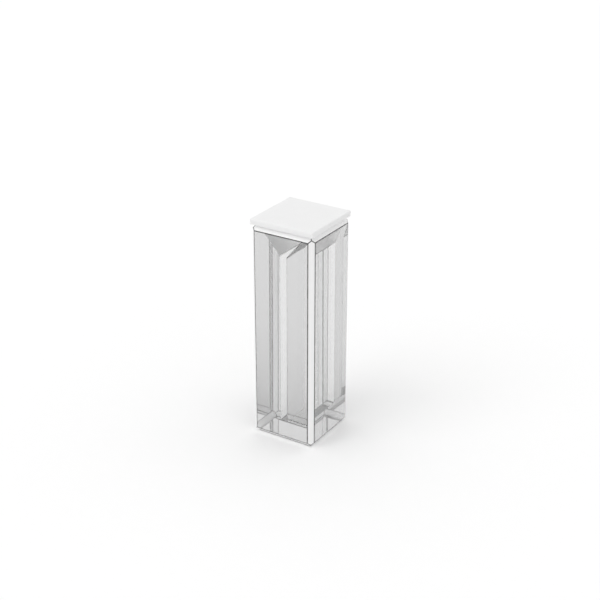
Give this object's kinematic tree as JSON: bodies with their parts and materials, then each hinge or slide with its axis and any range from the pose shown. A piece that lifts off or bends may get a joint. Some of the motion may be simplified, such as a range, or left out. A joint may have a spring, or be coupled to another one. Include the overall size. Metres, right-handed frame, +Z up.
{
  "type": "cuvette with lid",
  "caption": "Clear square optical cell with a funnel-shaped mouth running down into a narrow flat chamber, closed by a loose square lid with a tapered plug.",
  "frame": {"origin": "middle of the base, on the surface that the cell stands on", "axes": "+Z up from the base to the lid; Y along the light path, through the two windows; X across the narrow chamber, square to the two side walls"},
  "size_m": [0.0126, 0.0126, 0.0411],
  "materials": {
    "cell_glass": "polished windows, finely ground bevels",
    "lid_plastic": "machined, waxy satin"
  },
  "bodies": {
    "root": {"cell_body": "cell_glass", "lid": "lid_plastic"}
  },
  "joints": []
}
